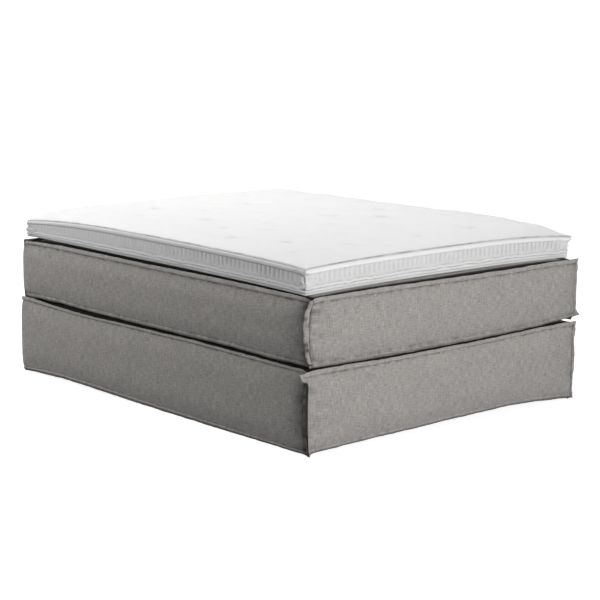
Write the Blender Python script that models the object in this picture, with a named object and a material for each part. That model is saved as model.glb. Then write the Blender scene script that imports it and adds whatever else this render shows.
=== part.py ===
# Box spring bed: a sprung base, a pocket-sprung mattress and a loose topper, stacked.
# Metres, +Z up. The origin is on the floor under the middle of the bed.
# The foot end faces -Y, the head end +Y, and the left long side -X.

import math

import bmesh
import bpy
from mathutils import Vector

# Overall sizes
bed_width = 1.600               # over the corner flanges
bed_length = 2.000              # over the bulge of the foot and head panels
gap = 0.0003                    # left between pieces that touch

# Linen cover panels of the base and the mattress
panel_thickness = 0.014         # linen and wadding, at the seams
panel_bulge = 0.009             # how far a side stands out between its seams
bulge_run = 0.220               # length over which the bulge grows from a corner
flange_width = 0.018            # seam flanges that stand out along every edge
flange_thickness = 0.0035
panel_step = 0.004              # slope from the wadded panel to the bare flange
pillow_run = 0.060              # how far in from its seam a flat panel keeps curving
pillow_edge = 0.003             # thickness of a flat panel at its seam
pillow_corner = 0.014           # corner radius of a flat panel

# Base, from the floor up
glide_height = 0.030
glide_radius = 0.030
glide_neck_radius = 0.022
glide_neck_height = 0.008
glide_edge = 0.004
stud_radius = 0.005
stud_clearance = 0.0005
stud_tip_clearance = 0.006      # under the slats
dust_cover_thickness = 0.0012
dust_cover_inset = 0.003
rail_thickness = 0.022
rail_edge = 0.002
batten_width = 0.030
batten_height = 0.035
beam_width = 0.070
block_side = 0.090
slat_count = 5
slat_width = 0.090
slat_thickness = 0.018
deck_thickness = 0.003
base_spring_height = 0.200
felt_thickness = 0.003
base_foam_thickness = 0.048
base_cover_thickness = 0.022

# Mattress
mattress_cover_thickness = 0.0225
lower_foam_thickness = 0.018
mattress_spring_height = 0.170
upper_foam_thickness = 0.036
edge_foam_width = 0.060
zone_count = 7
zone_gap = 0.0006
foam_edge = 0.003

# Pocket springs, in the base and the mattress
pocket_width = 0.072
pocket_bulge = 0.010

# Topper
topper_margin_x = 0.045         # how much narrower and shorter than the bed it is
topper_margin_y = 0.080
topper_shift_x = 0.010          # the topper lies a little off the middle of the mattress
topper_shift_y = 0.025
topper_corner = 0.028
topper_bottom_thickness = 0.0125
topper_bottom_edge = 0.004
topper_bottom_roll = 0.025      # how far in from its seam the bottom cover curves down
core_thickness = 0.064
core_edge = 0.010
band_thickness = 0.012
band_bulge = 0.004
top_seam_corner = 0.0720        # height of the top seam over the bottom seam, at a corner
top_seam_rise = 0.024           # how much higher that seam is between the corners
top_edge = 0.003
top_crown = 0.022               # topper's top over its seam
top_crown_run = 0.110
tuft_pitch_x = 0.150            # every second row is moved by this
tuft_pitch_y = 0.200
tuft_depth = 0.010
tuft_radius = 0.070

# Shares of a height or a run, at which the points of a curved outline are set
bulge_height_shares = (0.04, 0.13, 0.28, 0.50, 0.72, 0.87, 0.96)
bulge_run_shares = (0.0, 0.08, 0.24, 0.52, 1.0)
pillow_run_shares = (0.0, 0.08, 0.24, 0.52, 1.0)
band_height_shares = (0.08, 0.35, 0.65, 0.92)
crown_run_shares = (0.0, 0.10, 0.30, 0.62)
pocket_shares = (0.0, 0.25, 0.75)

# Shapes that are no lengths
smooth_angle = math.radians(40)
linen_swell_power = 0.8         # below 1 a bulge grows faster at its edge
knit_swell_power = 0.55
bulge_power = 4
seam_power = 4

# Heights, stacked from the floor
z_dust_cover = glide_height + gap
z_frame = z_dust_cover + dust_cover_thickness + gap
z_slats = z_frame + batten_height + gap
z_deck = z_slats + slat_thickness + gap
z_base_springs = z_deck + deck_thickness + gap
z_rail_top = z_base_springs + base_spring_height
z_base_felt = z_rail_top + gap
z_base_foam = z_base_felt + felt_thickness + gap
z_base_cover = z_base_foam + base_foam_thickness + gap
z_base_top = z_base_cover + base_cover_thickness

z_mattress = z_base_top + gap
z_lower_foam = z_mattress + mattress_cover_thickness + gap
z_lower_felt = z_lower_foam + lower_foam_thickness + gap
z_mattress_springs = z_lower_felt + felt_thickness + gap
z_upper_felt = z_mattress_springs + mattress_spring_height + gap
z_upper_foam = z_upper_felt + felt_thickness + gap
z_mattress_cover = z_upper_foam + upper_foam_thickness + gap
z_mattress_top = z_mattress_cover + mattress_cover_thickness

z_topper = z_mattress_top + gap
z_core = z_topper + topper_bottom_thickness + gap
z_topper_cover = z_core + core_thickness + gap

# Planes of the covers, measured from the middle of the bed
seam_x = bed_width / 2 - flange_width
seam_y = bed_length / 2 - panel_bulge
back_x = seam_x - panel_thickness
back_y = seam_y - panel_thickness
flange_back_y = seam_y - flange_thickness
flat_x = seam_x - flange_thickness - gap
flat_y = flange_back_y - gap

# Planes of the frame and the fillings, just inside the covers
frame_x = back_x - gap
frame_y = back_y - gap
inner_x = frame_x - rail_thickness
inner_y = frame_y - rail_thickness
fill_x = inner_x - gap
fill_y = inner_y - gap
block_x = fill_x - block_side / 2
block_y = fill_y - block_side / 2

# The topper's outline, and the rows and columns of tufts on each side of its middle
topper_x = (bed_width - topper_margin_x) / 2
topper_y = (bed_length - topper_margin_y) / 2
tuft_columns = int((topper_x - top_crown_run) / tuft_pitch_x)
tuft_rows = int((topper_y - top_crown_run) / tuft_pitch_y)


def material(name, colour, roughness, metallic=0.0):
    made = bpy.data.materials.new(name)
    made.use_nodes = True
    shader = made.node_tree.nodes["Principled BSDF"]
    shader.inputs["Base Color"].default_value = (*colour, 1.0)
    shader.inputs["Roughness"].default_value = roughness
    shader.inputs["Metallic"].default_value = metallic
    return made


def carrier(name, height):
    """An empty that carries one layer of the bed, at the height where the layer rests."""
    empty = bpy.data.objects.new(name, None)
    empty.location = (0.0, 0.0, height)
    bpy.context.scene.collection.objects.link(empty)
    return empty


def place(name, mesh, look, parent, location, turn=0.0):
    """Links a mesh as an object at a place given in the bed's own frame."""
    piece = bpy.data.objects.new(name, mesh)
    piece.data.materials.append(look)
    piece.parent = parent
    piece.location = Vector(location) - parent.location
    piece.rotation_euler = (0.0, 0.0, turn)
    bpy.context.scene.collection.objects.link(piece)
    return piece


def closed_mesh(name, rings, smooth=True):
    """Joins equal rings of points into a tube and caps both ends."""
    shape = bmesh.new()
    loops = [[shape.verts.new(point) for point in ring] for ring in rings]
    for low, high in zip(loops, loops[1:]):
        for i in range(len(low)):
            j = (i + 1) % len(low)
            shape.faces.new((low[i], low[j], high[j], high[i]))
    shape.faces.new(reversed(loops[0]))
    shape.faces.new(loops[-1])
    return finished_mesh(name, shape, smooth)


def finished_mesh(name, shape, smooth):
    bmesh.ops.recalc_face_normals(shape, faces=shape.faces)
    mesh = bpy.data.meshes.new(name)
    shape.to_mesh(mesh)
    shape.free()
    if smooth:
        mesh.shade_smooth()
        mesh.set_sharp_from_angle(angle=smooth_angle)
    return mesh


def block(name, size, centre, look, parent, edge=0.0):
    """A rectangular piece of timber, board, foam or felt, with its edges eased."""
    shape = bmesh.new()
    bmesh.ops.create_cube(shape, size=1.0)
    bmesh.ops.scale(shape, vec=size, verts=shape.verts)
    if edge:
        bmesh.ops.bevel(shape, geom=shape.edges[:], offset=edge, segments=1, affect="EDGES")
    return place(name, finished_mesh(name, shape, False), look, parent, centre)


def layer(name, half_x, half_y, bottom, thickness, look, parent, edge=0.0):
    """A block that lies centred on the bed."""
    size = (2 * half_x, 2 * half_y, thickness)
    return block(name, size, (0.0, 0.0, bottom + thickness / 2), look, parent, edge)


def drill(piece, places):
    """Cuts the holes that the glide studs pass through."""
    hole_radius = stud_radius + stud_clearance
    depth = piece.dimensions.z + 2 * stud_radius
    for number, (x, y) in enumerate(places):
        shape = bmesh.new()
        bmesh.ops.create_cone(shape, cap_ends=True, segments=16, depth=depth,
                              radius1=hole_radius, radius2=hole_radius)
        bit_mesh = finished_mesh(f"{piece.name}_bit_{number}", shape, False)
        bit = place(bit_mesh.name, bit_mesh, piece.active_material, piece.parent,
                    (x, y, (piece.parent.location + piece.location).z))
        bit.hide_render = True
        bit.display_type = "WIRE"
        cut = piece.modifiers.new("hole", "BOOLEAN")
        cut.operation = "DIFFERENCE"
        cut.object = bit


def swell(share, power=linen_swell_power):
    """How much of a bulge is reached at a share of the way from its edge."""
    return math.sin(math.pi / 2 * min(1.0, share)) ** power


def bulge_at(height_share, along_share):
    """The bulge of a panel: nothing at its seams, full between them."""
    across = 1.0 - (2 * height_share - 1.0) ** bulge_power
    return panel_bulge * across * swell(along_share)


def panel_outline(x, height, along_share, bare):
    """Closed outline of a cover panel at x: its back, its flanges and its crowned front."""
    front = -panel_thickness
    inner = front + flange_thickness
    back = inner if bare else 0.0
    lip = flange_thickness if bare else 0.0
    outline = [(x, back, lip), (x, back, height - lip), (x, inner, height),
               (x, inner, height + flange_width), (x, front, height + flange_width), (x, front, height)]
    for share in reversed(bulge_height_shares):
        outline.append((x, front - bulge_at(share, along_share), share * height))
    outline += [(x, front, 0.0), (x, front, -flange_width), (x, inner, -flange_width), (x, inner, 0.0)]
    return outline


def cover_panel(name, seam, bottom, top, corner_flange, look, parent, location, turn):
    """A wadded linen panel that stands on one side of the bed, facing its own -Y."""
    height = top - bottom
    stations = []
    if corner_flange:
        stations.append((seam + flange_width, 0.0, True))
        stations.append((seam, 0.0, True))
        step_at = seam - panel_thickness - gap
        along_share = panel_thickness / bulge_run
        stations.append((step_at, along_share, True))
        stations.append((step_at - panel_step, along_share, False))
        run_shares = bulge_run_shares[2:]
    else:
        run_shares = bulge_run_shares
    for share in run_shares:
        stations.append((seam - share * bulge_run, share, False))
    left = [panel_outline(-x, height, share, bare) for x, share, bare in stations]
    middle = [panel_outline(0.0, height, 1.0, False)]
    right = [panel_outline(x, height, share, bare) for x, share, bare in stations]
    mesh = closed_mesh(name, left + middle + right[::-1])
    place(name, mesh, look, parent, (*location, bottom), turn)


def four_panels(layer_name, bottom, top, look, parent):
    """The two side panels butt against the flanges of the foot and head panels."""
    sides = (("foot", seam_x, True, (0.0, -back_y), 0.0), ("head", seam_x, True, (0.0, back_y), math.pi),
             ("left", flat_y, False, (-back_x, 0.0), -math.pi / 2),
             ("right", flat_y, False, (back_x, 0.0), math.pi / 2))
    for side, seam, corner_flange, location, turn in sides:
        name = f"{layer_name}_cover_{side}"
        cover_panel(name, seam, bottom, top, corner_flange, look, parent, location, turn)


def rounded_rectangle(half_x, half_y, radius, height, arc_steps=4):
    """Points of a rectangle with round corners, counter-clockwise from the foot's right corner."""
    points = []
    corners = ((1, -1), (1, 1), (-1, 1), (-1, -1))
    for quarter, (side_x, side_y) in enumerate(corners):
        for step in range(arc_steps + 1):
            angle = math.pi / 2 * (quarter - 1 + step / arc_steps)
            points.append((side_x * (half_x - radius) + radius * math.cos(angle),
                           side_y * (half_y - radius) + radius * math.sin(angle), height))
    return points


def flat_panel(name, bottom, thickness, flip, look, parent):
    """A top or bottom cover panel, flat in its middle and curving to its seam at the edge."""
    rings = [rounded_rectangle(flat_x, flat_y, pillow_corner, 0.0)]
    for share in pillow_run_shares:
        inset = share * pillow_run
        height = pillow_edge + (thickness - pillow_edge) * swell(share)
        rings.append(rounded_rectangle(flat_x - inset, flat_y - inset, pillow_corner, height))
    if flip:
        rings = [[(x, y, thickness - z) for x, y, z in ring] for ring in rings]
    place(name, closed_mesh(name, rings), look, parent, (0.0, 0.0, bottom))


def scalloped(half_x, half_y, height):
    """Outline of a block of pocket springs, whose outer pockets bulge between their seams."""
    points = []
    for side, (along, across) in enumerate(((half_x, half_y), (half_y, half_x)) * 2):
        pockets = max(1, round(2 * along / pocket_width))
        width = 2 * along / pockets
        for pocket in range(pockets):
            for share in pocket_shares:
                travel = -along + width * (pocket + share)
                depth = across - (0.0 if share else pocket_bulge)
                angle = math.pi / 2 * side
                x = travel * math.cos(angle) + depth * math.sin(angle)
                y = travel * math.sin(angle) - depth * math.cos(angle)
                points.append((x, y, height))
    return points


def spring_block(name, half_x, half_y, centre_y, bottom, height, look, parent):
    rings = [scalloped(half_x, half_y, 0.0), scalloped(half_x, half_y, height)]
    place(name, closed_mesh(name, rings, False), look, parent, (0.0, centre_y, bottom))


def glide(name, x, y, look, parent):
    """A turned foot with the stud that holds it in its block."""
    neck_z = glide_height - glide_neck_height
    stud_top = z_slats - stud_tip_clearance
    profile = [(0.0, 0.0), (glide_radius - glide_edge, 0.0), (glide_radius, glide_edge),
               (glide_radius, neck_z - glide_edge), (glide_neck_radius, neck_z),
               (glide_neck_radius, glide_height), (stud_radius, glide_height),
               (stud_radius, stud_top - stud_radius / 2), (stud_radius / 2, stud_top), (0.0, stud_top)]
    shape = bmesh.new()
    verts = [shape.verts.new((radius, 0.0, height)) for radius, height in profile]
    edges = [shape.edges.new(pair) for pair in zip(verts, verts[1:])]
    bmesh.ops.spin(shape, geom=verts + edges, cent=(0.0, 0.0, 0.0), axis=(0.0, 0.0, 1.0),
                   angle=math.tau, steps=20, use_duplicate=False)
    bmesh.ops.remove_doubles(shape, verts=shape.verts, dist=gap / 10)
    place(name, finished_mesh(name, shape, True), look, parent, (x, y, 0.0))


def build_base(looks, parent):
    timber, board, felt = looks["timber"], looks["board"], looks["felt"]
    stud_places = {f"{end}_{side}": (sx * block_x, sy * block_y)
                   for end, sy in (("foot", -1), ("head", 1)) for side, sx in (("left", -1), ("right", 1))}
    for place_name, (x, y) in stud_places.items():
        glide(f"glide_{place_name}", x, y, looks["plastic"], parent)
        size = (block_side, block_side, batten_height)
        corner = block(f"corner_block_{place_name}", size, (x, y, z_frame + batten_height / 2), timber,
                       parent, rail_edge)
        drill(corner, [(x, y)])
    glide("glide_centre", 0.0, 0.0, looks["plastic"], parent)

    dust_cover = layer("dust_cover", back_x - dust_cover_inset, back_y - dust_cover_inset, z_dust_cover,
                       dust_cover_thickness, looks["lining"], parent)
    drill(dust_cover, [*stud_places.values(), (0.0, 0.0)])

    rail_height = z_rail_top - z_frame
    rail_z = z_frame + rail_height / 2
    for side, sx in (("left", -1), ("right", 1)):
        centre = (sx * (frame_x - rail_thickness / 2), 0.0, rail_z)
        size = (rail_thickness, 2 * frame_y, rail_height)
        block(f"side_rail_{side}", size, centre, timber, parent, rail_edge)
    for end, sy in (("foot", -1), ("head", 1)):
        centre = (0.0, sy * (frame_y - rail_thickness / 2), rail_z)
        size = (2 * fill_x, rail_thickness, rail_height)
        block(f"{end}_rail", size, centre, timber, parent, rail_edge)

    beam = layer("centre_beam", beam_width / 2, fill_y, z_frame, batten_height, timber, parent, rail_edge)
    drill(beam, [(0.0, 0.0)])
    batten_length = 2 * (fill_y - block_side - gap)
    for side, sx in (("left", -1), ("right", 1)):
        centre = (sx * (fill_x - batten_width / 2), 0.0, z_frame + batten_height / 2)
        size = (batten_width, batten_length, batten_height)
        block(f"batten_{side}", size, centre, timber, parent, rail_edge)
    slat_reach = fill_y - slat_width / 2
    for number in range(slat_count):
        y = -slat_reach + 2 * slat_reach * number / (slat_count - 1)
        centre = (0.0, y, z_slats + slat_thickness / 2)
        size = (2 * fill_x, slat_width, slat_thickness)
        block(f"slat_{number + 1}", size, centre, timber, parent, rail_edge)
    layer("deck_board", fill_x, fill_y, z_deck, deck_thickness, board, parent)
    spring_block("base_spring_unit", fill_x, fill_y, 0.0, z_base_springs, base_spring_height,
                 looks["pocket"], parent)
    layer("base_felt", frame_x, frame_y, z_base_felt, felt_thickness, felt, parent)
    layer("base_foam", frame_x, frame_y, z_base_foam, base_foam_thickness, looks["foam"], parent, foam_edge)
    flat_panel("base_cover_top", z_base_cover, base_cover_thickness, False, looks["linen"], parent)
    four_panels("base", glide_height, z_base_cover - gap, looks["linen"], parent)


def build_mattress(looks, parent):
    linen, foam, felt = looks["linen"], looks["foam"], looks["felt"]
    flat_panel("mattress_cover_bottom", z_mattress, mattress_cover_thickness, True, linen, parent)
    layer("lower_comfort_foam", frame_x, frame_y, z_lower_foam, lower_foam_thickness, foam, parent,
          foam_edge)
    layer("upper_comfort_foam", frame_x, frame_y, z_upper_foam, upper_foam_thickness, foam, parent,
          foam_edge)
    spring_x = frame_x - edge_foam_width - gap
    spring_y = frame_y - edge_foam_width - gap
    layer("lower_felt", spring_x, spring_y, z_lower_felt, felt_thickness, felt, parent)
    layer("upper_felt", spring_x, spring_y, z_upper_felt, felt_thickness, felt, parent)

    edge_height = z_upper_foam - gap - z_lower_felt
    edge_z = z_lower_felt + edge_height / 2
    for side, sx in (("left", -1), ("right", 1)):
        centre = (sx * (frame_x - edge_foam_width / 2), 0.0, edge_z)
        size = (edge_foam_width, 2 * frame_y, edge_height)
        block(f"edge_foam_{side}", size, centre, foam, parent, foam_edge)
    for end, sy in (("foot", -1), ("head", 1)):
        centre = (0.0, sy * (frame_y - edge_foam_width / 2), edge_z)
        size = (2 * spring_x, edge_foam_width, edge_height)
        block(f"edge_foam_{end}", size, centre, foam, parent, foam_edge)

    zone_length = (2 * spring_y - zone_gap * (zone_count - 1)) / zone_count
    for number in range(zone_count):
        centre_y = -spring_y + zone_length / 2 + number * (zone_length + zone_gap)
        spring_block(f"spring_zone_{number + 1}", spring_x, zone_length / 2, centre_y, z_mattress_springs,
                     mattress_spring_height, looks["pocket"], parent)

    flat_panel("mattress_cover_top", z_mattress_cover, mattress_cover_thickness, False, linen, parent)
    four_panels("mattress", z_lower_foam, z_mattress_cover - gap, linen, parent)


def seam_height(x, y):
    """Height of the topper's top seam over its bottom seam: lowest at the corners."""
    near_corner = (min(1.0, abs(x) / topper_x) * min(1.0, abs(y) / topper_y)) ** seam_power
    return top_seam_corner + top_seam_rise * (1.0 - near_corner)


def seat_height(x, y):
    """Height over the core at which the top cover lies on the border."""
    return z_core + seam_height(x, y) + gap - z_topper_cover


def grid_lines(half, pitch, count):
    """Places of the lines of the top cover's mesh: on every tuft, between tufts, and close at the edge."""
    inner = [pitch / 2 * i for i in range(-2 * count, 2 * count + 1)]
    outer = [half - share * top_crown_run for share in crown_run_shares]
    return [-place for place in outer] + inner + outer[::-1]


def top_height(x, y):
    """Height of the topper's crowned and tufted top, over its top seam."""
    edge = min(topper_x - abs(x), topper_y - abs(y))
    rise = top_crown * swell(edge / top_crown_run, knit_swell_power)
    dip = 0.0
    for row in range(-tuft_rows, tuft_rows + 1):
        for column in range(-tuft_columns, tuft_columns + 1):
            if (row + column) % 2 == 0:
                distance = math.hypot(x - column * tuft_pitch_x, y - row * tuft_pitch_y)
                dip += tuft_depth * math.exp(-(distance / tuft_radius) ** 2 * 2)
    return rise - dip


def corner_pull(x, y):
    """Moves a point of a square corner onto the topper's round corner."""
    inner_edge_x = topper_x - topper_corner
    inner_edge_y = topper_y - topper_corner
    a = (abs(x) - inner_edge_x) / topper_corner
    b = (abs(y) - inner_edge_y) / topper_corner
    if a <= 0 or b <= 0:
        return x, y
    round_x = inner_edge_x + topper_corner * a * math.sqrt(1 - b * b / 2)
    round_y = inner_edge_y + topper_corner * b * math.sqrt(1 - a * a / 2)
    return math.copysign(round_x, x), math.copysign(round_y, y)


def outward(x, y):
    """The direction in which a point of the topper's outline faces."""
    centre_x = max(-topper_x + topper_corner, min(topper_x - topper_corner, x))
    centre_y = max(-topper_y + topper_corner, min(topper_y - topper_corner, y))
    return Vector((x - centre_x, y - centre_y, 0.0)).normalized()


def rim_side(side):
    """Points of one side of the topper's outline, from the middle of a corner to the next."""
    xs = grid_lines(topper_x, tuft_pitch_x, tuft_columns)
    ys = grid_lines(topper_y, tuft_pitch_y, tuft_rows)
    square = {
        "foot": [(x, -topper_y) for x in xs],
        "right": [(topper_x, y) for y in ys],
        "head": [(x, topper_y) for x in reversed(xs)],
        "left": [(-topper_x, y) for y in reversed(ys)],
    }
    return [Vector((*corner_pull(x, y), 0.0)) for x, y in square[side]]


def border_band(name, side, look, parent):
    """One of the four strips of the topper's border, which meet at the middles of the corners."""
    points = rim_side(side)
    rings = []
    for number, point in enumerate(points):
        out = outward(point.x, point.y)
        along = Vector((-out.y, out.x, 0.0))
        end_gap = {0: gap / 2, len(points) - 1: -gap / 2}.get(number, 0.0)
        start = point + along * end_gap
        height = seam_height(point.x, point.y)
        profile = [(-band_thickness, 0.0), (0.0, 0.0)]
        for share in band_height_shares:
            profile.append((band_bulge * (1.0 - (2 * share - 1.0) ** 2), share * height))
        profile += [(0.0, height), (-band_thickness, height)]
        rings.append([start + out * depth + Vector((0.0, 0.0, z)) for depth, z in profile])
    mesh = closed_mesh(name, rings)
    place(name, mesh, look, parent, (topper_shift_x, topper_shift_y, z_core))


def topper_top(name, look, parent):
    """The tufted top cover, whose underside clears the core and lies on the border bands."""
    xs = grid_lines(topper_x, tuft_pitch_x, tuft_columns)
    ys = grid_lines(topper_y, tuft_pitch_y, tuft_rows)
    shape = bmesh.new()
    rows = []
    for y in ys:
        row = []
        for x in xs:
            px, py = corner_pull(x, y)
            height = seat_height(px, py) + top_edge + top_height(x, y)
            row.append(shape.verts.new((px, py, height)))
        rows.append(row)
    for low, high in zip(rows, rows[1:]):
        for i in range(len(low) - 1):
            shape.faces.new((low[i], low[i + 1], high[i + 1], high[i]))
    rim = rows[0] + [row[-1] for row in rows[1:-1]] + rows[-1][::-1] + [row[0] for row in rows[-2:0:-1]]
    reach = band_thickness + gap
    loops = [rim]
    for inset, seated in ((0.0, True), (reach, True), (reach + panel_step, False)):
        loop = []
        for vert in rim:
            x, y = vert.co.x, vert.co.y
            height = seat_height(x, y) if seated else 0.0
            inner = Vector((x, y, height)) - outward(x, y) * inset
            loop.append(shape.verts.new(inner))
        loops.append(loop)
    for upper, lower in zip(loops, loops[1:]):
        for i in range(len(upper)):
            j = (i + 1) % len(upper)
            shape.faces.new((upper[i], lower[i], lower[j], upper[j]))
    shape.faces.new(loops[-1])
    mesh = finished_mesh(name, shape, True)
    place(name, mesh, look, parent, (topper_shift_x, topper_shift_y, z_topper_cover))


def topper_bottom(name, look, parent):
    """The bottom cover, flat where it rests and rolled up to the bottom seam."""
    rings = [rounded_rectangle(topper_x, topper_y, topper_corner, topper_bottom_thickness)]
    for share in pillow_run_shares:
        inset = share * topper_bottom_roll
        height = topper_bottom_thickness - topper_bottom_edge
        height -= (topper_bottom_thickness - topper_bottom_edge) * swell(share)
        rings.append(rounded_rectangle(topper_x - inset, topper_y - inset, topper_corner, height))
    mesh = closed_mesh(name, rings)
    place(name, mesh, look, parent, (topper_shift_x, topper_shift_y, z_topper))


def topper_core(name, look, parent):
    """The foam core, with corners rounder than the inside of the border that holds it."""
    wall = band_thickness + gap
    levels = ((core_edge, 0.0), (0.0, core_edge),
              (0.0, core_thickness - core_edge), (core_edge, core_thickness))
    rings = [rounded_rectangle(topper_x - wall - inset, topper_y - wall - inset, topper_corner, height)
             for inset, height in levels]
    mesh = closed_mesh(name, rings)
    place(name, mesh, look, parent, (topper_shift_x, topper_shift_y, z_core))


def build_topper(looks, parent):
    white = looks["knit"]
    topper_bottom("topper_cover_bottom", white, parent)
    topper_core("topper_core", looks["foam"], parent)
    for side in ("left", "right", "foot", "head"):
        border_band(f"topper_border_{side}", side, looks["mesh"], parent)
    topper_top("topper_cover_top", white, parent)


def main():
    for piece in list(bpy.data.objects):
        bpy.data.objects.remove(piece, do_unlink=True)
    looks = {
        "linen": material("grey_linen", (0.385, 0.372, 0.355), 0.95),
        "knit": material("white_knit", (0.86, 0.86, 0.85), 0.90),
        "mesh": material("ribbed_mesh", (0.80, 0.80, 0.80), 0.85),
        "timber": material("spruce", (0.62, 0.45, 0.27), 0.60),
        "board": material("hardboard", (0.30, 0.19, 0.11), 0.70),
        "foam": material("foam", (0.80, 0.76, 0.62), 0.95),
        "felt": material("needle_felt", (0.42, 0.42, 0.43), 0.98),
        "pocket": material("spring_pockets", (0.78, 0.78, 0.80), 0.85),
        "lining": material("dust_lining", (0.03, 0.03, 0.03), 0.90),
        "plastic": material("black_plastic", (0.02, 0.02, 0.02), 0.45),
    }
    build_base(looks, carrier("base_carrier", 0.0))
    build_mattress(looks, carrier("mattress_carrier", z_mattress))
    build_topper(looks, carrier("topper_carrier", z_topper))


main()
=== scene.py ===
# Looks of the box spring bed: linen base and mattress covers, white topper, studio.
import math
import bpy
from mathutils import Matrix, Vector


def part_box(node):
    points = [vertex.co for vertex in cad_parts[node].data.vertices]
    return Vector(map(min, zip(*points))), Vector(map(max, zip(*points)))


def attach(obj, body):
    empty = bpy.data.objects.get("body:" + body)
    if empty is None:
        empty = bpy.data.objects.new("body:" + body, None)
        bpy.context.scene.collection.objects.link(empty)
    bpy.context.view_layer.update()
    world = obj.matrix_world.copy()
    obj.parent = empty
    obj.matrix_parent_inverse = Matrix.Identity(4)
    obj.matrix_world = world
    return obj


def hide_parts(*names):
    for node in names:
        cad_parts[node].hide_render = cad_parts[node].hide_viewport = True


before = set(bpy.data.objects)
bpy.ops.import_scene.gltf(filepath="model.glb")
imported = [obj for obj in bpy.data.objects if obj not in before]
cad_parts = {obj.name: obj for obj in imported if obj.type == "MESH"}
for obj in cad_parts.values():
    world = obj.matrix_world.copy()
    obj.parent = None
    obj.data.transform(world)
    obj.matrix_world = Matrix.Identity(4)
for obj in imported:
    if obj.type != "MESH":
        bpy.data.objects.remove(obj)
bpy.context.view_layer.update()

from types import SimpleNamespace

import bpy
import numpy as np
from mathutils import Matrix, Vector, noise

scene = bpy.context.scene
gap = 0.0003  # kept between pieces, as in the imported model


# Camera: where the photograph was taken from
cameraValues = {
    "place": (-5.4585, -6.1575, 1.9151),
    "turn": 0.728950,  # to the right of straight ahead, radians
    "dip": 0.182414,  # below level
    "roll": 0.009878,
    "lens": 110.1,
    "sensor": 36,
}


def makeCamera(values):
    data = bpy.data.cameras.new("camera")
    data.lens = values["lens"]
    data.sensor_width = values["sensor"]
    camera = bpy.data.objects.new("camera", data)
    scene.collection.objects.link(camera)
    aim = Matrix.Rotation(-values["turn"], 4, "Z") @ Matrix.Rotation(math.pi / 2 - values["dip"], 4, "X")
    camera.matrix_world = Matrix.Translation(values["place"]) @ aim @ Matrix.Rotation(values["roll"], 4, "Z")
    scene.camera = camera


# Node helper: one call adds a node, sets its options and fills or links its inputs
def add(tree, kind, options=None, **inputs):
    made = tree.nodes.new("ShaderNode" + kind)
    for key, value in (options or {}).items():
        setattr(made, key, value)
    for key, value in inputs.items():
        socket = made.inputs[int(key[1:])] if key[0] == "i" and key[1:].isdigit() else made.inputs[key]
        if isinstance(value, bpy.types.NodeSocket):
            tree.links.new(value, socket)
        else:
            socket.default_value = value
    return made.outputs[0]


def calc(tree, operation, first, second=0.0, third=0.0):
    return add(tree, "Math", {"operation": operation}, i0=first, i1=second, i2=third)


def weighted(tree, first, share, second, otherShare):
    return calc(tree, "MULTIPLY_ADD", first, share, calc(tree, "MULTIPLY", second, otherShare))


def sineOf(tree, place, pitch):
    return calc(tree, "SINE", calc(tree, "MULTIPLY", place, 2 * math.pi / pitch))


def apart(tree, source):
    split = tree.nodes.new("ShaderNodeSeparateXYZ")
    tree.links.new(source, split.inputs[0])
    return split.outputs


def stretched(tree, source, scale):
    return add(tree, "Mapping", Vector=source, Scale=scale)


def cloudy(tree, source, scale, detail=2.0, roughness=0.5):
    return add(tree, "TexNoise", Vector=source, Scale=scale, Detail=detail, Roughness=roughness)


# Every finish has its dark and light colour, the range of tones between them, its roughness, its sheen
# and the depth of its bumps. Its pattern gives the tone and the height. Grooves and gaps: the shade map
# paints shade into a cover's cloth there, darkening its colour, its sheen and its highlight.
# paintedShadeColour: the near-black that a cover's colour is blended towards where painted shade is full
dullness = {"specular": 0.25, "sheenRoughness": 0.45, "paintedShadeColour": (0.004, 0.004, 0.004, 1)}


def ramped(tree, tone, values):
    ramp = tree.nodes.new("ShaderNodeValToRGB")
    colours = (values["dark"], values["light"])
    for stop, place, colour in zip(ramp.color_ramp.elements, values["range"], colours):
        stop.position = place
        stop.color = (*colour, 1)
    tree.links.new(tone, ramp.inputs[0])
    return ramp.outputs[0]


# Painted shade: the shade map blends the colour towards near-black and turns down the sheen and the
# highlight
def inShade(tree, shader, colour, sheen):
    shade = apart(tree, add(tree, "UVMap", {"uv_map": "shade"}))[0]
    light = calc(tree, "SUBTRACT", 1.0, shade)
    tree.links.new(calc(tree, "MULTIPLY", light, dullness["specular"]), shader.inputs["Specular IOR Level"])
    tree.links.new(calc(tree, "MULTIPLY", light, sheen), shader.inputs["Sheen Weight"])
    return add(tree, "MixRGB", Fac=shade, Color1=colour, Color2=dullness["paintedShadeColour"])


def makeMaterial(name, pattern, values, cover=False):
    made = bpy.data.materials.new(name)
    made.use_nodes = True
    tree = made.node_tree
    shader = tree.nodes["Principled BSDF"]
    shader.inputs["Roughness"].default_value = values["roughness"]
    shader.inputs["Specular IOR Level"].default_value = dullness["specular"]
    if "sheen" in values:
        shader.inputs["Sheen Weight"].default_value = values["sheen"]
        shader.inputs["Sheen Roughness"].default_value = dullness["sheenRoughness"]
    tone, height = pattern(tree, values)
    colour = ramped(tree, tone, values)
    if cover:
        colour = inShade(tree, shader, colour, values["sheen"])
    tree.links.new(colour, shader.inputs["Base Color"])
    bump = add(tree, "Bump", Height=height, Distance=values["bump"], Strength=1.0)
    tree.links.new(bump, shader.inputs["Normal"])
    if "gloss" in values:
        tree.links.new(calc(tree, "MULTIPLY_ADD", tone, *values["gloss"]), shader.inputs["Roughness"])
    return made


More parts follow.
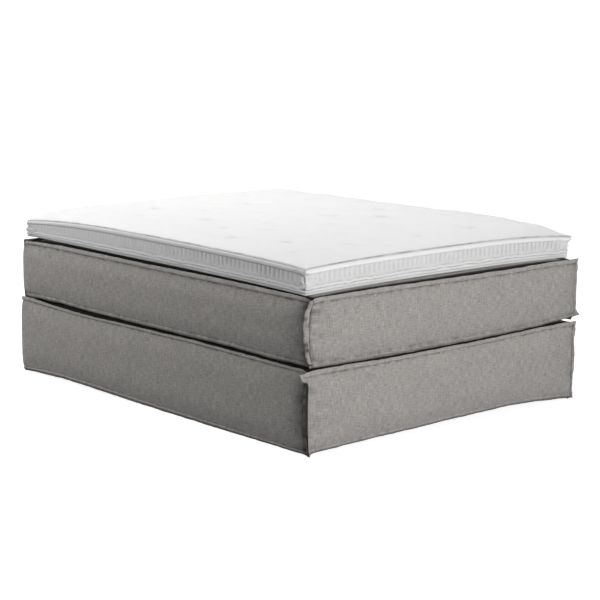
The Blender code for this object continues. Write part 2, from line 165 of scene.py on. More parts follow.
# Linen: plain weave of uneven yarns, with slubs and a slight mottle
linenValues = {
    "dark": (0.215, 0.207, 0.197),
    "light": (0.566, 0.540, 0.516),
    "range": (0.32, 0.68),
    "roughness": 0.93,
    "sheen": 0.12,
    "bump": 0.0011,
    "yarn": 0.0016,  # pitch of the weave
    "wander": 1.5,  # how far a yarn strays, in pitches
    "wanderGrain": 90.0,
    "warpGrain": (310, 25, 1),  # how fast the yarns' tone changes across and along them
    "weftGrain": (34, 310, 1),
    "slubGrain": 330.0,
    "mottleGrain": 7.0,
    "shares": {"yarns": 0.76, "mottle": 0.08, "slubs": 0.11, "crossing": 0.05},
    "relief": {"crossing": 0.45, "yarns": 1.6},
}


def linen(tree, values):
    shares, relief = values["shares"], values["relief"]
    cloth = add(tree, "UVMap", {"uv_map": "cloth"})
    across, up = apart(tree, cloth)[:2]
    stray = calc(tree, "SUBTRACT", cloudy(tree, cloth, values["wanderGrain"], 1.0), 0.5)
    bend = calc(tree, "MULTIPLY", stray, values["yarn"] * values["wander"])
    warp = sineOf(tree, calc(tree, "ADD", across, bend), 2 * values["yarn"])
    weft = sineOf(tree, calc(tree, "ADD", up, bend), 2 * values["yarn"])
    crossing = calc(tree, "MULTIPLY_ADD", calc(tree, "MULTIPLY", warp, weft), 0.5, 0.5)
    warpYarn = cloudy(tree, stretched(tree, cloth, values["warpGrain"]), 1.0, 1.0)
    weftYarn = cloudy(tree, stretched(tree, cloth, values["weftGrain"]), 1.0, 1.0)
    slubs = cloudy(tree, cloth, values["slubGrain"], 1.0)
    mottle = cloudy(tree, cloth, values["mottleGrain"], 3.0)
    yarns = weighted(tree, warpYarn, 0.5, weftYarn, 0.5)
    tone = weighted(tree, yarns, shares["yarns"], mottle, shares["mottle"])
    tone = calc(tree, "MULTIPLY_ADD", slubs, shares["slubs"], tone)
    tone = calc(tree, "MULTIPLY_ADD", crossing, shares["crossing"], tone)
    return tone, weighted(tree, crossing, relief["crossing"], yarns, relief["yarns"])


# Knit: soft white jersey with fine wales
knitValues = {
    "dark": (0.775, 0.775, 0.775),
    "light": (0.850, 0.848, 0.843),
    "range": (0.25, 0.75),
    "roughness": 0.88,
    "sheen": 0.2,
    "bump": 0.0006,
    "wale": 0.0022,
    "course": 0.0016,
    "fuzzGrain": 450.0,
    "softGrain": 16.0,
    "shares": {"loops": 0.3, "fuzz": 0.3, "soft": 0.4},
}


def knit(tree, values):
    shares = values["shares"]
    cloth = add(tree, "UVMap", {"uv_map": "cloth"})
    across, up = apart(tree, cloth)[:2]
    wale = sineOf(tree, across, values["wale"])
    course = sineOf(tree, up, values["course"])
    loops = calc(tree, "MULTIPLY_ADD", calc(tree, "ADD", wale, course), 0.25, 0.5)
    fuzz = cloudy(tree, cloth, values["fuzzGrain"])
    soft = cloudy(tree, cloth, values["softGrain"], 3.0)
    tone = weighted(tree, loops, shares["loops"], fuzz, shares["fuzz"])
    tone = calc(tree, "MULTIPLY_ADD", soft, shares["soft"], tone)
    return tone, weighted(tree, loops, 0.5, fuzz, 0.5)


# Spacer mesh of the topper's border: rows of small open cells
meshValues = {
    "dark": (0.88, 0.88, 0.88),
    "light": (0.96, 0.96, 0.955),
    "range": (0.15, 0.95),
    "roughness": 0.80,
    "sheen": 0.15,
    "bump": 0.0006,
    "cell": 0.0030,
    "strand": 0.16,  # share of a cell that its yarn takes
    "shares": {"yarn": 0.55, "soft": 0.9},
}


def spacerMesh(tree, values):
    cloth = add(tree, "UVMap", {"uv_map": "cloth"})
    edge = add(tree, "TexVoronoi", {"feature": "DISTANCE_TO_EDGE"}, Vector=cloth, Scale=1.0 / values["cell"],
               Randomness=0.35).node.outputs["Distance"]
    yarn = calc(tree, "GREATER_THAN", values["strand"], edge)
    soft = cloudy(tree, cloth, 60.0)
    return weighted(tree, yarn, values["shares"]["yarn"], soft, values["shares"]["soft"]), yarn


# Twill tape of the topper's seams
tapeValues = {
    "dark": (0.92, 0.92, 0.92),
    "light": (0.97, 0.97, 0.965),
    "range": (0.2, 0.8),
    "roughness": 0.75,
    "sheen": 0.15,
    "bump": 0.0004,
    "pitch": 0.0012,
    "twill": 0.08,  # how much of the tone is twill
}


def twillTape(tree, values):
    cloth = add(tree, "UVMap", {"uv_map": "cloth"})
    across, up = apart(tree, cloth)[:2]
    twill = sineOf(tree, calc(tree, "ADD", across, up), values["pitch"])
    tone = calc(tree, "MULTIPLY_ADD", twill, values["twill"], cloudy(tree, cloth, 80.0))
    return tone, tone


# Inner pieces: timber, board, foam, felt, spring pockets, lining and plastic. "words" are those that name
# the pieces, "coarse" and "fine" the scales of the pattern, "share" how much of the tone the first one is.
innerValues = {
    "spruce": {
        "words": ("rail", "batten", "beam", "slat", "corner_block"),
        "dark": (0.50, 0.33, 0.18), "light": (0.71, 0.54, 0.34), "range": (0.25, 0.8),
        "roughness": 0.62, "bump": 0.0006, "share": 0.45,
    },
    "hardboard": {
        "words": ("deck",),
        "dark": (0.20, 0.120, 0.065), "light": (0.38, 0.25, 0.150), "range": (0.3, 0.75),
        "roughness": 0.66, "bump": 0.0004, "fine": 240.0,
    },
    "foam": {
        "words": ("foam", "core"),
        "dark": (0.70, 0.64, 0.48), "light": (0.86, 0.82, 0.68), "range": (0.1, 0.8),
        "roughness": 0.96, "bump": 0.0008, "fine": 520.0, "coarse": 12.0, "share": 0.5,
        "randomness": 1.0, "detail": 2.0,
    },
    "needle_felt": {
        "words": ("felt",),
        "dark": (0.22, 0.22, 0.24), "light": (0.62, 0.60, 0.57), "range": (0.32, 0.68),
        "roughness": 0.98, "sheen": 0.2, "bump": 0.0010, "fine": 380.0, "coarse": 95.0, "share": 0.5,
    },
    "spring_pockets": {
        "words": ("spring",),
        "dark": (0.66, 0.66, 0.69), "light": (0.84, 0.84, 0.86), "range": (0.05, 0.6),
        "roughness": 0.85, "bump": 0.0006, "fine": 300.0, "coarse": 11.0, "share": 0.25,
    },
    "dust_lining": {
        "words": ("dust",),
        "dark": (0.018, 0.018, 0.019), "light": (0.050, 0.050, 0.052), "range": (0.2, 0.8),
        "roughness": 0.9, "bump": 0.0004, "fine": 420.0, "coarse": 300.0, "share": 0.4,
        "randomness": 0.1, "detail": 3.0,
    },
    "black_plastic": {
        "words": ("glide",),
        "dark": (0.016, 0.016, 0.017), "light": (0.034, 0.034, 0.035), "range": (0.3, 0.8),
        "roughness": 0.45, "bump": 0.0002, "fine": 900.0, "coarse": 60.0, "gloss": (0.25, 0.32),
    },
}


def inObject(tree):
    return add(tree, "TexCoord").node.outputs["Object"]


def dots(tree, place, scale, randomness):
    return add(tree, "TexVoronoi", Vector=place, Scale=scale, Randomness=randomness)


def spruce(tree, values):
    place = inObject(tree)
    grain = cloudy(tree, stretched(tree, place, (60, 3.0, 60)), 1.0, 4.0, 0.6)
    rings = add(tree, "TexWave", {"bands_direction": "X"}, Vector=stretched(tree, place, (30, 0.8, 30)),
                Scale=1.0, Distortion=6.0, Detail=3.0)
    return weighted(tree, rings, values["share"], grain, 1 - values["share"]), grain


def hardboard(tree, values):
    fibres = cloudy(tree, inObject(tree), values["fine"], 4.0, 0.7)
    return fibres, fibres


def speckled(tree, values):
    place = inObject(tree)
    specks = dots(tree, place, values["fine"], values["randomness"])
    soft = cloudy(tree, place, values["coarse"], values["detail"])
    return weighted(tree, specks, values["share"], soft, 1 - values["share"]), specks


def needleFelt(tree, values):
    place = inObject(tree)
    fibres = cloudy(tree, place, values["fine"], 5.0, 0.75)
    litFlecks = cloudy(tree, place, values["coarse"])
    return weighted(tree, fibres, values["share"], litFlecks, 1 - values["share"]), fibres


def springPockets(tree, values):
    place = inObject(tree)
    bonds = dots(tree, place, values["fine"], 0.0)
    coil = add(tree, "TexWave", {"bands_direction": "Z"}, Vector=place, Scale=values["coarse"],
               Distortion=0.4)
    return weighted(tree, coil, values["share"], bonds, 1 - values["share"]), bonds


def blackPlastic(tree, values):
    place = inObject(tree)
    return cloudy(tree, place, values["coarse"], 3.0), cloudy(tree, place, values["fine"])


# Sheets: a grid whose columns and rows stand for places on the cloth
def gridSheet(name, alongs, rises):
    bpy.ops.object.select_all(action="DESELECT")
    bpy.ops.mesh.primitive_grid_add(x_subdivisions=len(alongs) - 1, y_subdivisions=len(rises) - 1, size=2)
    sheet = bpy.context.object
    sheet.name = name
    sheet.data.name = name
    points = readPoints(sheet)
    column = np.rint((points[:, 0] + 1) / 2 * (len(alongs) - 1)).astype(int)
    row = np.rint((points[:, 1] + 1) / 2 * (len(rises) - 1)).astype(int)
    return sheet, np.asarray(alongs)[column], np.asarray(rises)[row]


def layerSheet(name, halfX, halfY, step, rim=()):
    sheet, x, y = gridSheet(name, stations(2 * halfX, 0, step, rim) - halfX,
                            stations(2 * halfY, 0, step, rim) - halfY)
    writeMap(sheet, "cloth", x, y)
    return sheet, x, y, np.minimum(halfX - np.abs(x), halfY - np.abs(y))


def readPoints(piece):
    points = np.empty(len(piece.data.vertices) * 3)
    piece.data.vertices.foreach_get("co", points)
    return points.reshape(-1, 3)


def writePoints(piece, points):
    piece.data.vertices.foreach_set("co", np.asarray(points, dtype=np.float64).ravel())
    piece.data.update()


def writeMap(piece, name, across, up):
    layer = piece.data.uv_layers.get(name) or piece.data.uv_layers.new(name=name)
    corners = np.empty(len(piece.data.loops), dtype=np.int32)
    piece.data.loops.foreach_get("vertex_index", corners)
    layer.data.foreach_set("uv", np.stack([across[corners], up[corners]], axis=1).ravel())


def ripples(first, second, scale, seed, octaves=2):
    values = np.empty(len(first))
    for i in range(len(first)):
        spot = Vector((first[i] * scale[0] + seed * 7.3, second[i] * scale[1] - seed * 3.1, seed * 1.7))
        values[i] = noise.fractal(spot, 1.0, 2.0, octaves)
    return values


# A wave is (depth, scales, seed), with the octaves behind them where they aren't two
def wave(waves, name, first, second, seed=0):
    depth, scales, ownSeed, *octaves = waves[name]
    return depth * ripples(first, second, scales, seed + ownSeed, *octaves)


def unit(value):
    return np.clip(value, 0, 1)


def positive(value):
    return np.clip(value, 0, None)


def ease(value):
    value = unit(value)
    return value * value * (3 - 2 * value)


def fading(distance, depth, run):
    return depth * np.exp(-(distance / run) ** 2)


# Padded sheets: the front is shaped first, then the wall behind it is laid back to its place
def backed(piece, frontPoints, backPoints):
    writePoints(piece, frontPoints)
    wall = piece.modifiers.new("wall", "SOLIDIFY")
    wall.thickness = 0.002  # until the back has its own points
    wall.offset = -1
    bpy.ops.object.modifier_apply(modifier=wall.name)
    points = readPoints(piece)
    count = len(frontPoints)
    points[:count] = frontPoints
    points[count:2 * count] = backPoints
    writePoints(piece, points)
    finer = piece.modifiers.new("finer", "SUBSURF")
    finer.levels = 1
    finer.render_levels = 1
    bpy.ops.object.modifier_apply(modifier=finer.name)
    bpy.ops.object.shade_smooth_by_angle(angle=math.radians(50))


def wear(piece, *names):
    piece.data.materials.clear()
    for name in names:
        piece.data.materials.append(looks[name])


def inFrame(along, rise, out, start, right, outward):
    along, rise, out = (np.asarray(values)[:, None] for values in (along, rise, out))
    up = np.array((0.0, 0.0, 1.0))
    return np.array(start) + along * np.array(right) + rise * up + out * np.array(outward)


# Linen cover panels of the base and the mattress
panelValues = {
    "flange": 0.018,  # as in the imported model
    "flangeWall": 0.0042,
    "wall": 0.0137,  # wadding behind the linen
    "crown": 0.0050,
    "crownRun": 0.180,
    "pillow": 0.0050,  # how far and how fast the panel swells beside a long seam
    "pillowRun": 0.0085,
    "endRun": {True: 0.010, False: 0.024},  # the same beside an upright seam, with a flange or not
    "endValley": {True: 0.003, False: 0.010},
    "valley": 0.0045,  # depth and width of the seam's groove
    "valleyRun": 0.0026,
    "roll": 0.0036,  # how far a flange bellies out beside its seam
    "lean": 0.0030,  # how far an upper flange leans in at its free edge
    "curl": 0.0070,  # how far a lower flange curls under
    "hemCurl": 0.0110,
    "step": 0.012,  # mesh size away from the seams
    "earRun": 0.030,  # how far a corner's pull reaches
    "bowRun": 0.05,  # the same for an end's bow, and for its stretch
    "stretchRun": 0.06,
    "broadRun": 0.06,  # how far in from the seams the broad waves, gathers and creases start or end
    "gatherRun": 0.030,
    "creaseRun": 0.042,
    "creaseStart": (0.008, 0.006),  # from an upright seam, from a level one
    "creaseDepth": 0.0085,
    "hemRoll": 0.3,  # share of the roll that a hem has
    "frill": (0.0050, 0.0012),  # waviness of a flange's face, then of its edge: upright seam, level seam
    "uneven": (0.0060, 0.0016),
    "clear": 0.0005,  # above the floor
}
faceWaves = {
    "broad": (0.0020, (2.4, 4.0), 0),
    "gathers": (0.0014, (30.0, 6.0), 20),
    "crease": (1.8, (6.0, 46.0), 40),
}
seamWaves = {  # along a seam and out on its flange
    "sway": (0.0030, (13.0, 0), 60),
    "frill": (1, (60.0, 0.8), 80),
    "uneven": (1, (26.0, 0), 90),
    "fold": (0.45, (30.0, 0.7), 52),
    "torn": (1.5, (45.0, 0), 70),
    "knotShade": (2.2, (64.0, 0.7), 33),
    "litFlecks": (3.0, (34.0, 0.7), 51),
}
# Painted shade of the linen panels: how dark seams, gaps, creases, knots, folded flanges and the sides
# beside corners are painted; litFlecks paint lighter bits on a folded flange. Most are a depth and the run
# over which it fades.
seamShades = {
    "topRow": (0.38, 0.004),  # groove of a level seam, upper and lower
    "lowRow": (0.30, 0.006),
    "hemRow": 0.2,  # share of it that a hem has
    "curl": (0.40, 0.35, 0.3),  # a lower flange: depth, and from where and how fast it darkens
    "hem": (0.42, 0.0, 0.6),
    "upright": (0.75, 0.003),  # the same of an upright seam with a flange
    "corner": ((0.64, 0.042), (0.08, 0.150)),  # beside a corner, on the side without a flange
    "cornerLine": (0.22, 0.005),
    "crease": 0.9,
    "knotShade": 0.80,
    "fold": 0.92,
    "litFlecks": 0.60,
}
sides = {  # to the right, and outwards, for someone who faces that side
    "foot": ((1, 0, 0), (0, -1, 0)),
    "right": ((0, 1, 0), (1, 0, 0)),
    "head": ((-1, 0, 0), (0, 1, 0)),
    "left": ((0, -1, 0), (-1, 0, 0)),
}
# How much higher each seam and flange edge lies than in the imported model, in millimetres, at even
# places from the side's left end to its right end
lines = {
    "base": {
        "foot": {
            "topEdge": (-9, -11, -16, -16, -15, -15, -11, -6, -5),
            "topSeam": (-14, -16, -16, -16, -15, -13, -9, -4, -7),
            "lowSeam": (-2, 0, 4, 6, 10, 11, 13, 4, -9),
            "lowEdge": (0, 3, 7, 8, 12, 13, 15, 5, -10),
        },
        "left": {
            "topEdge": (3, -13, -17, -13, -10, -7, -10, -13, -14),
            "topSeam": (2, -8, -10, -6, -5, -2, -5, -7, -7),
            "lowSeam": (-7, 2, 0, -5, -8, -10, -12, -14, -17),
            "lowEdge": (-7, 0, -2, -7, -9, -11, -12, -12, -12),
        },
        "head": {
            "topEdge": (-8, -14, -12, -13, -2), "topSeam": (-6, -10, -9, -10, -6),
            "lowSeam": (-2, 6, 9, 6, -4), "lowEdge": (-4, 7, 10, 6, -5),
        },
        "right": {
            "topEdge": (-8, -12, -15, -12, -8), "topSeam": (-4, -8, -10, -7, -5),
            "lowSeam": (-6, 2, 5, 3, -5), "lowEdge": (-8, 2, 5, 3, -6),
        },
    },
    "mattress": {
        "foot": {
            "topEdge": (0, 1, 2, -1, -2, -3, -4, 0, -1),
            "topSeam": (-2, -2, -2, -2, -4, -6, -6, -3, -5),
            "lowSeam": (-12, -12, -12, -12, -12, -13, -12, -8, 2),
            "lowEdge": (-11, -14, -18, -19, -18, -17, -14, -8, 4),
        },
        "left": {
            "topEdge": (-10, -2, -1, -2, -1, 1, 2, 0, -2),
            "topSeam": (-5, -4, -4, -3, -3, -3, -2, -2, 0),
            "lowSeam": (-6, -3, -10, -9, -8, -8, -6, -14, -8),
            "lowEdge": (-6, -3, -8, -8, -7, -8, -5, -12, -8),
        },
        "head": {
            "topEdge": (-2, 1, -1, 0, -3), "topSeam": (-3, -2, -4, -3, -4),
            "lowSeam": (-8, -11, -10, -11, -7), "lowEdge": (-8, -15, -14, -14, -11),
        },
        "right": {
            "topEdge": (-3, 0, -2, 0, -3), "topSeam": (-3, -3, -4, -3, -3),
            "lowSeam": (-4, -9, -10, -8, -6), "lowEdge": (-6, -11, -14, -11, -7),
        },
    },
}
# How a side's corners pull and its ends bow. A corner is (end, level): end -1 is the left one,
# level 1 the upper one, and its pull is (along, up, out). A bow is (seam, flange), by end. "ends" says
# how deep the groove is at the left and the right end, "crease" how strong the creases beside them are.
# A fold (end, inward, back, how far below the top it starts) turns the flange of that end away, and
# "stretch" carries an end further (along, out).
slack = {
    "base": {
        "foot": {
            "ends": (0, 1), "crease": (0.3, 0.25),
            "fold": (-1, 0.85, 0.7, 0.024), "stretch": {-1: (0.009, 0)},
            "corners": {(-1, 1): (0.04, -0.007, 0.012), (1, 1): (0.005, -0.001, 0.004),
                        (-1, -1): (0.004, -0.006, 0.026), (1, -1): (0.004, -0.004, 0.003)},
            "bows": {-1: (0.005, 0.011), 1: (0.002, 0.002)},
        },
        "left": {
            "ends": (0, 1), "crease": (0, 1),
            "corners": {(1, 1): (0, -0.012, -0.006), (1, -1): (0, 0, 0.012),
                        (-1, 1): (0, 0.002, 0.002)},
            "bows": {1: (0.003, 0), -1: (0.006, 0)}, "stretch": {-1: (0.03, 0.016)},
        },
        "head": {
            "ends": (0.6, 0), "crease": (0.4, 0.1),
            "corners": {(-1, 1): (0.008, 0.003, 0.004), (-1, -1): (0.004, -0.003, 0)},
            "bows": {-1: (0.003, 0.003), 1: (0.002, 0)}, "fold": (1, 1.1, 0.3, 0),
            "stretch": {1: (0.01, 0.02)},
        },
        "right": {
            "ends": (1, 1), "crease": (0.3, 0.3),
            "corners": {(1, 1): (0, -0.006, 0.003), (-1, -1): (0, -0.004, 0.003)},
            "bows": {1: (0.003, 0), -1: (0.002, 0)},
        },
    },
    "mattress": {
        "foot": {
            "ends": (0.8, 0.7), "crease": (1, 0.25),
            "corners": {(-1, 1): (-0.01, -0.01, 0.003), (1, 1): (0.007, 0.002, 0.004),
                        (-1, -1): (-0.012, 0.001, 0.003), (1, -1): (0.02, 0.006, 0.006)},
            "bows": {-1: (0.012, 0.005), 1: (0.003, 0.003)},
        },
        "left": {
            "ends": (0, 1), "crease": (0, 1),
            "corners": {(1, 1): (0, -0.006, 0.002), (1, -1): (0, -0.003, 0.004),
                        (-1, 1): (0, -0.004, 0)},
            "bows": {1: (0.008, 0), -1: (0.007, 0)}, "stretch": {-1: (0.018, 0.008)},
        },
        "head": {
            "ends": (0.6, 0), "crease": (0.5, 0.1),
            "corners": {(-1, 1): (0.009, 0.003, 0.003), (-1, -1): (0.008, -0.004, 0.003)},
            "bows": {-1: (0.004, 0.003), 1: (0.003, 0)}, "fold": (1, 1.1, 0.3, 0),
            "stretch": {1: (0.007, 0.014)},
        },
        "right": {
            "ends": (1, 1), "crease": (0.5, 0.5),
            "corners": {(1, 1): (0, -0.005, 0.003), (-1, 1): (0, -0.005, 0.003)},
            "bows": {1: (0.004, 0), -1: (0.003, 0)},
        },
    },
}


# Mesh lines: shares of a flange's width, then distances in from the seam, closer where it is curved
flangeShares = (1.0, 0.90, 0.72, 0.50, 0.30, 0.14)
seamPlaces = (0.0, 0.0025, 0.006, 0.0105, 0.016, 0.023, 0.032)


def stations(length, flange, step, rim=()):
    outer = [-flange * share for share in flangeShares] if flange else []
    near = [*seamPlaces, *rim]
    count = max(2, round((length - 2 * near[-1]) / step))
    middle = list(np.linspace(near[-1], length - near[-1], count + 1))
    half = outer + near[:-1]
    return np.array(half + middle + [length - place for place in half[::-1]])


def smoothLine(values, share):
    fine = np.linspace(-1, 1, 161)
    window = np.hanning(19)[1:-1]
    straight = np.interp(fine, np.linspace(-1, 1, len(values)), values)
    smooth = np.convolve(np.pad(straight, 8, "edge"), window / window.sum(), "valid")
    return np.interp(share, fine, smooth) * 0.001  # millimetres to metres


def bulgeOf(a, b, height, ends, flanged, values):
    high = 1 - (1 - unit(2 * b / height)) ** 3
    wide = np.sin(math.pi / 2 * unit(a / values["crownRun"])) ** 0.8
    besideRow = 1 - np.exp(-b / values["pillowRun"])
    besideEnd = 1 - np.exp(-a / values["endRun"][flanged])
    crown = values["crown"] * high * wide + values["pillow"] * besideRow * besideEnd
    return crown - values["valley"] * (1 - besideRow) - values["endValley"][flanged] * ends * (1 - besideEnd)


def flangeShape(share, upper, hem, values):
    belly = values["roll"] * np.sin(math.pi * share ** 0.6)
    under = np.where(hem, values["hemCurl"] * share ** 1.3, values["curl"] * share ** 2)
    return np.where(hem, values["hemRoll"], 1.0) * belly - np.where(upper, values["lean"] * share, under)


def darkening(share, depth, start, width):
    return depth * ease((share - start) / width)


def onFace(at, name):
    return wave(faceWaves, name, at.along, at.rise, at.seed)


def onSeam(at, name):
    return wave(seamWaves, name, at.way, at.past, at.seed)


# The points of a panel: a and b are how far inside the upright and the level seams they lie, past how far
# out on a flange, from 0 at the seam to 1 at its free edge
def placesOn(layer, side, along, rise, half, height, corner, values):
    at = SimpleNamespace(along=along, rise=rise, half=half, height=height, corner=corner)
    mine = slack[layer][side]
    at.seed = (3 if layer == "base" else 11) + list(sides).index(side)
    at.a, at.b = half - np.abs(along), np.minimum(rise, height - rise)
    at.aIn, at.bIn = positive(at.a), positive(at.b)
    at.pastEnd = positive(-at.a) if corner else np.zeros_like(at.a)
    at.pastRow = positive(-at.b)
    at.past = np.maximum(at.pastEnd, at.pastRow) / values["flange"]
    at.face = at.past == 0
    at.onEnd = at.pastEnd > at.pastRow
    at.upper = rise > height / 2
    at.hem = ~at.upper & (layer == "base")
    at.ends = np.where(along < 0, *mine["ends"])
    at.slack = np.where(along < 0, *mine["crease"])
    crease = np.clip(onFace(at, "crease"), -1, 1)
    at.crease = crease * np.exp(-at.aIn / values["creaseRun"]) * at.slack
    at.way = np.where(at.onEnd, rise + 5.0, along)  # along whichever seam is nearer
    foldEnd, foldIn, foldBack, foldStart = mine.get("fold", (0, 0, 0, 0))
    at.turned = np.where(along * foldEnd > 0, at.pastEnd, 0)
    if foldStart:
        at.turned = at.turned * ease((height - foldStart / 2 - rise) / foldStart)
    at.fold = (foldEnd, foldIn, foldBack)
    return at


def seamShade(at, torn):
    row = np.where(at.upper, fading(at.b, *seamShades["topRow"]), fading(at.b, *seamShades["lowRow"]))
    row = np.where(at.onEnd, 0, row) * np.where(at.hem, seamShades["hemRow"], 1) * torn
    hem, curl = darkening(at.past, *seamShades["hem"]), darkening(at.past, *seamShades["curl"])
    low = np.where(at.upper | at.onEnd, 0, np.where(at.hem, hem, curl))
    if at.corner:
        end = fading(np.abs(at.a), *seamShades["upright"]) * torn
    else:
        depth, run = seamShades["cornerLine"]
        end = sum(fading(at.a, *each) for each in seamShades["corner"]) + depth * np.exp(-np.abs(at.a) / run)
    return 1 - (1 - row) * (1 - low) * (1 - end * at.ends)


# Painted shade of a panel, for its shade map: darker along its seams and in creases, knots and a folded
# flange, with painted lighter flecks on the fold
def panelShade(at, values):
    torn = np.clip(0.75 + onSeam(at, "torn"), 0.1, 1.3)
    knotShade = unit(onSeam(at, "knotShade") - 0.1)
    litFlecks = unit(onSeam(at, "litFlecks") - 0.5)
    deep = seamShade(at, torn) + seamShades["crease"] * unit(-at.crease) * at.face
    deep = deep + seamShades["knotShade"] * knotShade * at.onEnd * at.slack
    turned = at.turned / values["flange"]
    litFlecks = seamShades["litFlecks"] * litFlecks * ease((turned - 0.55) / 0.35)
    folded = (seamShades["fold"] - 0.10 * turned - litFlecks) * ease(at.turned / 0.003)
    return unit(np.maximum(deep, folded))


def panelFace(at, values):
    broad = onFace(at, "broad") * ease(at.bIn / values["broadRun"]) * ease(at.aIn / values["broadRun"])
    gathers = onFace(at, "gathers") * np.exp(-at.bIn / values["gatherRun"])
    startA, startB = values["creaseStart"]
    folds = (gathers + values["creaseDepth"] * at.crease * ease(at.aIn / startA)) * ease(at.bIn / startB)
    return bulgeOf(at.aIn, at.bIn, at.height, at.ends, bool(at.corner), values) + broad + folds


def panelFlanges(at, values):
    lowHem = at.hem & ~at.onEnd
    frill = np.where(at.onEnd, *values["frill"]) * onSeam(at, "frill")
    body = flangeShape(unit(at.past), at.upper | at.onEnd, lowHem, values)
    groove = np.exp(-np.maximum(at.pastEnd, at.pastRow) / values["valleyRun"])
    groove = groove * ~lowHem * ~((at.pastEnd > 0) & (at.pastRow > 0)) * np.where(at.onEnd, at.ends, 1)
    return (onSeam(at, "sway") + frill) * at.past ** 1.4 + body - values["valley"] * groove


def unevenLines(line, at, values):
    share = np.clip(at.along / at.half, -1, 1)
    up = unit(at.rise / at.height)
    seam = smoothLine(line["lowSeam"], share) * (1 - up) + smoothLine(line["topSeam"], share) * up
    edge = np.where(at.upper, smoothLine(line["topEdge"], share), smoothLine(line["lowEdge"], share))
    free = unit(at.pastRow / values["flange"])
    uneven = np.where(at.onEnd, *values["uneven"]) * onSeam(at, "uneven")
    along = at.along + np.sign(at.along) * np.where(at.pastEnd > 0, uneven * at.past, 0)
    return along, at.rise + seam * (1 - free) + (edge + uneven) * free


def pulledEnds(mine, at, along, rise, out, values):
    flange = values["flange"]
    for end, (seamBow, flangeBow) in mine["bows"].items():
        near = np.exp(-positive(at.half - end * at.along) / values["bowRun"])
        bow = unit(1 - np.abs(2 * at.rise / at.height - 1) ** 3)
        if at.corner:
            onFlange = at.pastEnd / flange * (at.along * end > 0)
            along = along + end * bow * (seamBow * near + flangeBow * onFlange)
        else:
            out = out + bow * seamBow * near
    for end, (further, outer) in mine.get("stretch", {}).items():
        near = np.exp(-positive(at.half - end * at.along) / values["stretchRun"])
        along = along + end * further * near
        out = out + outer * near
    foldEnd, foldIn, foldBack = at.fold
    along = along - foldEnd * at.turned * (foldIn + onSeam(at, "fold"))
    out = out - at.turned * foldBack
    for (end, level), (pullAlong, pullUp, pullOut) in mine["corners"].items():
        tip = at.height + flange if level > 0 else -flange
        away = np.hypot(at.along - end * (at.half + at.corner), at.rise - tip)
        near = fading(away, 1, values["earRun"])
        along = along + end * pullAlong * near
        rise = rise + pullUp * near
        out = out + pullOut * near * at.past
    return along, rise, out


def linenPanel(layer, side, values):
    node = f"{layer}_cover_{side}"
    low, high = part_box(node)
    flange = values["flange"]
    right, outward = sides[side]
    bottom = low[2] + flange
    height = high[2] - flange - bottom
    across = 0 if side in ("foot", "head") else 1
    corner = flange if across == 0 else 0.0
    half = high[across] - corner
    backPlane = low[1 - across] if side in ("head", "right") else -high[1 - across]
    start = np.array(outward) * (backPlane + values["wall"] + gap) + np.array((0, 0, bottom))

    sheet, along, rise = gridSheet(f"linen_{layer}_{side}",
                                   stations(2 * half, corner, values["step"]) - half,
                                   stations(height, flange, values["step"]))
    at = placesOn(layer, side, along, rise, half, height, corner, values)
    writeMap(sheet, "cloth", along + at.seed * 0.37, rise + at.seed * 0.21)
    writeMap(sheet, "shade", panelShade(at, values), rise)
    out = np.where(at.face, panelFace(at, values), panelFlanges(at, values))
    along, rise = unevenLines(lines[layer][side], at, values)
    along, rise, out = pulledEnds(slack[layer][side], at, along, rise, out, values)
    rise = np.maximum(rise, values["clear"] - bottom)

    front = inFrame(along, rise, out, start, right, outward)
    behind = np.where(at.face, -values["wall"], out - values["flangeWall"])
    back = inFrame(along, rise, behind, start, right, outward)
    writePoints(sheet, front)
    front = settle(sheet, ~at.face | (at.bIn <= 1e-6) | (at.aIn <= 1e-6), clothValues)
    backed(sheet, front, back)
    wear(sheet, "grey_linen")
    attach(sheet, layer)
    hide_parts(node)


# Cloth: a panel held at its seams and pushed out by its wadding
clothValues = {
    "frames": 22,
    "quality": 6,
    "mass": 0.35,
    "pressure": 2.5,
    "slack": 0.0035,  # how much longer the cloth is than its place
    "tension": 30.0,
    "shear": 8.0,
    "bending": 0.8,
    "damping": 4.0,
    "limit": 0.007,  # how far a point may move from its place
}
topperCloth = dict(clothValues, pressure=0.6, slack=0.0006, limit=0.003)


def settle(sheet, held, values):
    before = readPoints(sheet)
    group = sheet.vertex_groups.new(name="held")
    group.add([int(i) for i in np.nonzero(held)[0]], 1.0, "REPLACE")
    cloth = sheet.modifiers.new("cloth", "CLOTH")
    cloth.settings.quality = values["quality"]
    cloth.settings.mass = values["mass"]
    cloth.settings.tension_stiffness = values["tension"]
    cloth.settings.compression_stiffness = values["tension"]
    cloth.settings.shear_stiffness = values["shear"]
    cloth.settings.bending_stiffness = values["bending"]
    cloth.settings.air_damping = values["damping"]
    cloth.settings.vertex_group_mass = "held"
    cloth.settings.use_pressure = True
    cloth.settings.uniform_pressure_force = values["pressure"]
    cloth.settings.shrink_min = -values["slack"]
    cloth.settings.effector_weights.gravity = 0
    cloth.collision_settings.use_collision = False
    cloth.point_cache.frame_end = values["frames"]
    for number in range(1, values["frames"] + 1):
        scene.frame_set(number)
    bpy.ops.object.modifier_apply(modifier=cloth.name)
    scene.frame_set(1)
    after = readPoints(sheet)
    moved = after - before
    length = np.linalg.norm(moved, axis=1)
    print(sheet.name, "moved", round(float(length.mean()) * 1000, 2), "mm on average, at most",
          round(float(length.max()) * 1000, 2))
    moved = moved * (values["limit"] * np.tanh(length / values["limit"]) / np.maximum(length, 1e-9))[:, None]
    return before + moved


